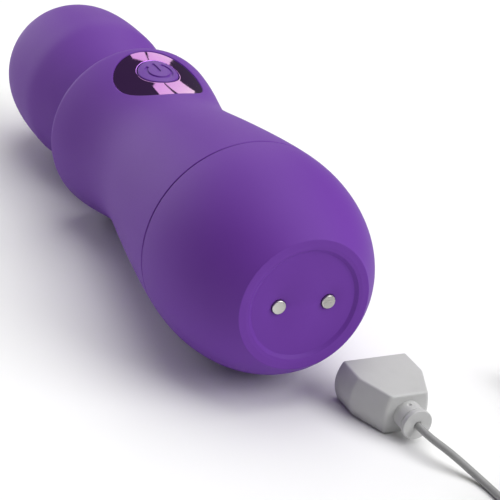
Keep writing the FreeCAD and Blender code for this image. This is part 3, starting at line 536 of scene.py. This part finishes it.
def loop_edges(work, points):
    corners = [work.verts.new(p) for p in points]
    return corners, [work.edges.new((a, b)) for a, b in zip(corners, corners[1:] + corners[:1])]


def pierced_face(name, outline, holes, walls, normal, material, place):
    """A flat face with round holes, each hole carried on by its rings of wall."""
    work = bmesh.new()
    edges = loop_edges(work, outline)[1]
    rims = []
    for hole in holes:
        corners, hole_edges = loop_edges(work, hole)
        rims.append(corners)
        edges += hole_edges
    bmesh.ops.triangle_fill(work, use_beauty=True, use_dissolve=False, edges=edges, normal=normal)
    for before, rings in zip(rims, walls):
        for ring in rings:
            corners = [work.verts.new(p) for p in ring]
            for a, b, c, d in zip(before, before[1:] + before[:1], corners[1:] + corners[:1], corners):
                work.faces.new((a, b, c, d))
            before = corners
    for face in work.faces:
        if face.normal.dot(Vector(normal)) < 0 and abs(face.normal.dot(Vector(normal))) > 0.9:
            face.normal_flip()
    vertices = [tuple(v.co) for v in work.verts]
    work.verts.index_update()
    faces = [tuple(v.index for v in face.verts) for face in work.faces]
    work.free()
    return new_object(name, vertices, faces, material, place)


def make_base_cover():
    rim = filleted([(RECESS_DEPTH, FLOOR_RADIUS, 0), (RECESS_DEPTH, RECESS_RADIUS, 0.25), (0.1, 11.0, 0.12),
                    (0.0, 11.7, 0.2), (0.0, 13.0, 0.25), (0.35, handle_radius(0.35), 0)])
    outer = part_of(HANDLE_CURVE, 0.4, 26.0, 0.3)
    seam = filleted([(26.0, handle_radius(26.0), 0), (26.35, handle_radius(26.35), 0.18),
                     (26.35, 19.4, 0.1), (23.0, 19.2, 0)])
    vertices, faces, _ = turn_rings(rim[:-1] + outer + seam[1:], 384)
    cover = new_object("base_cover", vertices, faces, LOOKS["purple_silicone"], WAND)
    outline = circle_points(FLOOR_RADIUS, 0.0, RECESS_DEPTH, 192)
    holes = [circle_points(1.5, side, RECESS_DEPTH, 64) for side in CONTACT_SIDES]
    walls = [[circle_points(radius, side, RECESS_DEPTH + depth, 64)
              for radius, depth in ((1.46, 0.02), (1.43, 0.06), (1.41, 0.12), (1.41, 1.2), (1.2, 1.2))]
             for side in CONTACT_SIDES]
    floor = pierced_face("recess_floor", outline, holes, walls, (1, 0, 0), LOOKS["purple_silicone"], WAND)
    finish_piece(outward(cover), "handle", "purple_silicone", "base_cap_skin")
    return finish_piece(outward(floor), "handle", "purple_silicone")


def make_contacts():
    profile = filleted([(0.0, 0.0, 0), (0.0, 1.35, 0.16), (2.3, 1.35, 0)])
    profile = [(station + 0.03 * (radius / 1.35) ** 2, radius) for station, radius in profile]
    for name, side in zip(("contact_left", "contact_right"), CONTACT_SIDES):
        vertices, faces, _ = turn_rings(profile, 72)
        shift = WAND @ Matrix.Translation(Vector((-CONTACT_STATION, side, 0)) * MM)
        stud = new_object(name, vertices, faces, LOOKS["nickel"], shift)
        finish_piece(outward(stud), "handle", "nickel", "charging_contacts")


make_handle_cover()
make_head_cover()
make_base_cover()
make_contacts()


# --------------------------------------------------------------------------- trim and button
def make_trim():
    angles = np.linspace(0, 2 * pi, 360, endpoint=False)
    flat_outer, flat_inner = 9.6, 4.9
    rings = [(TRIM_RADIUS, 1.6), (TRIM_RADIUS, 0.22), (9.695, 0.205)]
    rings += [(9.68, PLATE_DEPTH), (9.65, PLATE_DEPTH)]
    rings += [(radius, PLATE_DEPTH) for radius in np.linspace(flat_outer, flat_inner, 26)]
    rings += [(4.75, 0.205), (4.72, 0.22), (HOLE_RADIUS, 0.26), (HOLE_RADIUS, 1.7)]
    # from the trim's centre at the outside to the button's at the hole
    inward = [min(max((flat_outer - radius) / (flat_outer - flat_inner), 0.0), 1.0) for radius, _ in rings]
    vertices, faces = [], []
    ring_stack([(radius, depth, BUTTON_SHIFT * share) for (radius, depth), share in zip(rings, inward)],
               angles, vertices, faces)
    plate = new_object("trim_ring", vertices, faces, LOOKS["trim_plate"], WAND)
    return finish_piece(outward(plate), "handle", "trim_plate", "button_trim")


ICON_RADIUS = 2.75
ICON_HALF_LINE = 0.33
ICON_GAP = 1.9
ICON_DEPTH = 0.3
ICON_CENTRE = (-0.1, 0.2)
ICON_TURN = radians(9.0)


def icon_depth(across, side):
    """How deep the generic on/off mark is engraved at a point of the button's face."""
    across, side = across - ICON_CENTRE[0], side - ICON_CENTRE[1]
    turn_c, turn_s = cos(ICON_TURN), sin(ICON_TURN)
    across, side = across * turn_c + side * turn_s, side * turn_c - across * turn_s
    ring = np.abs(np.hypot(across, side) - ICON_RADIUS)
    to_end = np.hypot(across + sqrt(ICON_RADIUS ** 2 - ICON_GAP ** 2), np.abs(side) - ICON_GAP)
    open_side = (across < 0) & (np.abs(side) < ICON_GAP)
    ring = np.where(open_side, to_end, ring)
    along = np.clip(across, -ICON_RADIUS, 0.0)
    bar = np.hypot(across - along, side)
    nearest = np.minimum(ring, bar)
    edge = np.clip((ICON_HALF_LINE + 0.08 - nearest) / 0.16, 0.0, 1.0)
    return ICON_DEPTH * edge * edge * (3 - 2 * edge)


def make_button():
    angles = np.linspace(0, 2 * pi, 540, endpoint=False)
    edge = [(0.0, 1.4), (0.0, 0.16), (0.01, 0.11), (0.04, 0.06), (0.08, 0.02), (0.13, 0.0)]
    rings = [(BUTTON_RADIUS - inset, BUTTON_DEPTH + drop) for inset, drop in edge]
    rings += [(radius, BUTTON_DEPTH - BUTTON_CROWN * (1 - (radius / 4.3) ** 2))
              for radius in np.linspace(4.2, 0.05, 100)]
    vertices, faces = [], []
    before = None
    for radius, depth in rings:
        ring = list(range(len(vertices), len(vertices) + len(angles)))
        engraved = icon_depth(radius * np.cos(angles), radius * np.sin(angles))
        vertices.extend(button_ring(radius, depth + engraved, angles, BUTTON_SHIFT))
        if before is not None:
            for k in range(len(angles)):
                n = (k + 1) % len(angles)
                faces.append((before[k], before[n], ring[n], ring[k]))
        before = ring
    faces.append(tuple(before))
    button = new_object("push_button", vertices, faces, LOOKS["button_silicone"], WAND)
    return finish_piece(outward(button), "button", "button_silicone", "power_button")


make_trim()
make_button()


# --------------------------------------------------------------------------- charging plug
PLUG_HEIGHT = 8.1
PLUG_HALF_WIDTH = 6.7
PLUG_TAIL_HALF_WIDTH = 3.8
PLUG_BULGE = 1.2
PLUG_STRAIGHT = 6.5
PLUG_LENGTH = 13.75
PLUG_CORNER = 0.5
BARREL_RADIUS = 2.7
FLANGE_RADIUS = 3.0
PLUG_PLACE = Matrix.Translation(Vector((68.9, 17.6, PLUG_HEIGHT / 2)) * MM)


def plug_section(half_width, inset):
    """Flat top and bottom with outward-bulging sides, its four long edges rounded."""
    bulge = PLUG_BULGE * half_width / PLUG_HALF_WIDTH
    half_height = PLUG_HEIGHT / 2
    corners = []
    for sign in (1, -1):
        corners.append((-sign * half_width, sign * half_height, PLUG_CORNER))
        corners.append((sign * half_width, sign * half_height, PLUG_CORNER))
        for k in range(1, 12):
            up = half_height * (1 - k / 6)
            corners.append((sign * (half_width + bulge * (1 - (up / half_height) ** 2)), sign * up, 0))
    ring = filleted([corners[-1]] + corners + [corners[0]])[1:-1]
    wide = (half_width + bulge - inset) / (half_width + bulge)
    tall = (half_height - inset) / half_height
    return [(side * wide, up * tall) for side, up in ring]


def loft(sections):
    """Vertices and faces of a skin over (x, ring) sections, closed at the far end."""
    vertices, faces = [], []
    count = len(sections[0][1])
    for x, ring in sections:
        vertices.extend((x, side, up) for side, up in ring)
    for row in range(len(sections) - 1):
        for k in range(count):
            n = (k + 1) % count
            a, b = row * count, (row + 1) * count
            faces.append((a + k, a + n, b + n, b + k))
    last = (len(sections) - 1) * count
    faces.append(tuple(range(last, last + count)))
    return vertices, faces


def make_plug():
    wide, narrow = PLUG_HALF_WIDTH, PLUG_TAIL_HALF_WIDTH
    straight, length, edge = PLUG_STRAIGHT, PLUG_LENGTH, PLUG_CORNER
    sections = []
    for k in range(6):
        angle = pi / 2 * k / 5
        sections.append((edge * (1 - sin(angle)), plug_section(wide, edge * (1 - cos(angle)))))
    for x in (0.8, 2.0, 4.0, 5.9):
        sections.append((x, plug_section(wide, 0)))
    slope = (wide - narrow) / (length - straight)
    for k in range(7):
        x = straight - 0.45 + 0.9 * k / 6
        drop = slope * (x - straight + 0.45) ** 2 / 1.8
        sections.append((x, plug_section(wide - drop, 0)))
    for x in (7.5, 9.0, 11.0, 12.8):
        sections.append((x, plug_section(wide - slope * (x - straight), 0)))
    for k in range(6):
        angle = pi / 2 * k / 5
        x = length - edge + edge * sin(angle)
        sections.append((x, plug_section(wide - slope * (x - straight), edge * (1 - cos(angle)))))
    sections = sorted(sections[:6], key=lambda row: row[0]) + sections[6:]
    vertices, faces = loft(sections)
    body = new_object("charging_plug", vertices, faces, LOOKS["plug_plastic"], PLUG_PLACE)
    finish_piece(even_normals(outward(body)), "handle", "plug_plastic", "plug_body")

    outline = [(0.0, side, up) for side, up in sections[0][1]]
    spots = [(-5.0, 1.6, 5.0), (5.0, 1.6, 5.0), (-2.1, 1.5, 3.0), (2.1, 1.5, 3.0)]
    holes = [circle_points(radius + 0.12, side, 0.0, 40) for side, radius, depth in spots]
    walls = [[circle_points(radius + 0.04, side, -0.05, 40), circle_points(radius, side, -0.14, 40),
              circle_points(radius, side, -depth, 40), circle_points(radius * 0.4, side, -depth, 40)]
             for side, radius, depth in spots]
    face = pierced_face("plug_face", outline, holes, walls, (-1, 0, 0), LOOKS["plug_plastic"], PLUG_PLACE)
    finish_piece(outward(face), "handle", "plug_plastic")
    return body


def make_plug_neck():
    """Barrel with a fine groove and a small dimple, then a flat round flange."""
    barrel, groove, flange = BARREL_RADIUS, BARREL_RADIUS - 0.15, FLANGE_RADIUS
    profile = filleted([(0.0, barrel, 0), (-2.7, barrel, 0.05), (-2.78, groove, 0.04), (-2.92, groove, 0.04),
                        (-3.0, barrel, 0.05), (-3.3, barrel, 0.04), (-3.3, flange, 0.1),
                        (-4.2, flange, 0.16), (-4.2, 0.78, 0.04), (-4.1, 0.72, 0)])
    profile = [(-0.05 * k, barrel) for k in range(52)] + profile[1:]
    vertices, faces, _ = turn_rings(profile, 256)
    pressed = []
    for x, side, up in vertices:
        distance = sqrt((x - 1.2) ** 2 + (side + 0.5) ** 2)
        depth = 0.32 * (1 - min(distance / 0.42, 1.0) ** 4) ** 2 if up > 0 else 0.0
        pressed.append((x, side, up - depth))
    place = PLUG_PLACE @ Matrix.Translation(Vector((PLUG_LENGTH, 0, 0)) * MM)
    neck = new_object("plug_collar", pressed, faces, LOOKS["plug_plastic"], place)
    return finish_piece(even_normals(outward(neck)), "handle", "plug_plastic", "plug_neck")


plug = make_plug()
collar = make_plug_neck()


# --------------------------------------------------------------------------- USB end
def make_usb_grip():
    half_width, half_height, corner, length = 7.25, 3.7, 1.6, 18.0
    sections = []
    for k in range(25):
        along = k / 24
        x = length * along
        end = min(x, length - x)
        inset = 0.7 * (1 - sqrt(1 - (1 - min(end / 0.7, 1.0)) ** 2))
        grip = 0.35 * sin(pi * along) ** 2
        wide, tall = half_width - inset - grip, half_height - inset
        corners = [(-wide, tall, corner), (wide, tall, corner), (wide, -tall, corner), (-wide, -tall, corner)]
        ring = filleted([corners[-1]] + corners + [corners[0]])[1:-1]
        sections.append((x, ring))
    vertices, faces = loft(sections)
    faces.append(tuple(range(len(sections[0][1]))))
    place = Matrix.Translation(Vector((88.0, 54.5, 3.7)) * MM)
    grip_piece = new_object("usb_grip", vertices, faces, LOOKS["plug_plastic"], place)
    return finish_piece(even_normals(outward(grip_piece)), "handle", "plug_plastic", "usb_overmould")


def make_usb_relief():
    """Tapered sleeve with five grooves where the cord leaves the USB plug."""
    corners = [(0.0, 2.6, 0)]
    for k in range(5):
        start = 1.0 + 1.35 * k
        for step, dip in ((0.0, 0.0), (0.12, 0.35), (0.5, 0.35), (0.62, 0.0)):
            x = start + step
            corners.append((-x, 2.6 - 0.175 * x - dip, 0.05))
    corners += [(-8.0, 1.2, 0.2), (-8.0, 0.8, 0)]
    vertices, faces, _ = turn_rings(filleted(corners, 3), 96)
    place = Matrix.Translation(Vector((106.0, 54.5, 3.7)) * MM)
    sleeve = new_object("usb_relief", vertices, faces, LOOKS["cord_jacket"], place)
    return finish_piece(outward(sleeve), "handle", "cord_jacket", "usb_strain_relief")


usb_grip = make_usb_grip()
usb_relief = make_usb_relief()
on_cord = [plug, bpy.data.objects["plug_face"], collar, usb_grip, usb_relief]
on_cord += [frame["nodes"][name] for name in ("plug_pins", "plug_magnets", "usb_shell", "usb_tongue",
                                              "usb_contacts")]


# --------------------------------------------------------------------------- table and light
def make_table():
    """A wide pale tabletop."""
    size = 6.0
    corners = [(-size, -size, 0), (size, -size, 0), (size, size, 0), (-size, size, 0)]
    mesh = bpy.data.meshes.new("tabletop")
    mesh.from_pydata(corners, [], [(0, 1, 2, 3)])
    mesh.materials.append(surface("tabletop", (0.95, 0.95, 0.95), 0.75, spread=0.01, mottle=3.0, grain=600.0,
                                  depth=0.00001, rough_spread=0.03))
    table = bpy.data.objects.new("tabletop", mesh)
    bpy.context.scene.collection.objects.link(table)


def panel(name, place, target, width, height, power, colour=(1.0, 1.0, 1.0)):
    """A soft rectangular light aimed at a point."""
    data = bpy.data.lights.new(name, "AREA")
    data.shape = "RECTANGLE"
    data.size = width
    data.size_y = height
    data.energy = power
    data.color = colour
    light = bpy.data.objects.new(name, data)
    aim = Vector(target) - Vector(place)
    light.rotation_euler = aim.to_track_quat("-Z", "Y").to_euler()
    light.location = place
    bpy.context.scene.collection.objects.link(light)
    return light


def towards(azimuth, elevation, distance):
    """A point in a direction: azimuth from +X towards +Y, both angles in degrees."""
    turn, rise = radians(azimuth), radians(elevation)
    flat = cos(rise) * distance
    return Vector((flat * cos(turn), flat * sin(turn), sin(rise) * distance))


def make_lights():
    centre = Vector((0.0, 0.0, 0.03))
    panel("top_light", centre + Vector((-0.3, 0.5, 2.4)), centre, 2.6, 2.6, 50.0)
    panel("back_light_left", centre + towards(161.3, 24.0, 1.1), centre, 0.18, 0.62, 0.55, (0.97, 1.0, 0.68))
    panel("back_light_right", centre + towards(149.2, 24.0, 1.1), centre, 0.18, 0.62, 0.55, (0.97, 1.0, 0.68))
    panel("right_light", centre + towards(42.0, 34.0, 1.2), centre, 0.8, 0.8, 9.0)
    panel("left_light", centre + towards(-157.0, 15.0, 1.2), centre, 1.1, 0.9, 7.0)
    world = bpy.data.worlds.new("studio")
    world.use_nodes = True
    world.node_tree.nodes["Background"].inputs["Color"].default_value = (1.0, 1.0, 1.0, 1.0)
    world.node_tree.nodes["Background"].inputs["Strength"].default_value = 0.08
    bpy.context.scene.world = world
    bpy.context.scene.view_settings.view_transform = "Standard"


make_table()
make_lights()
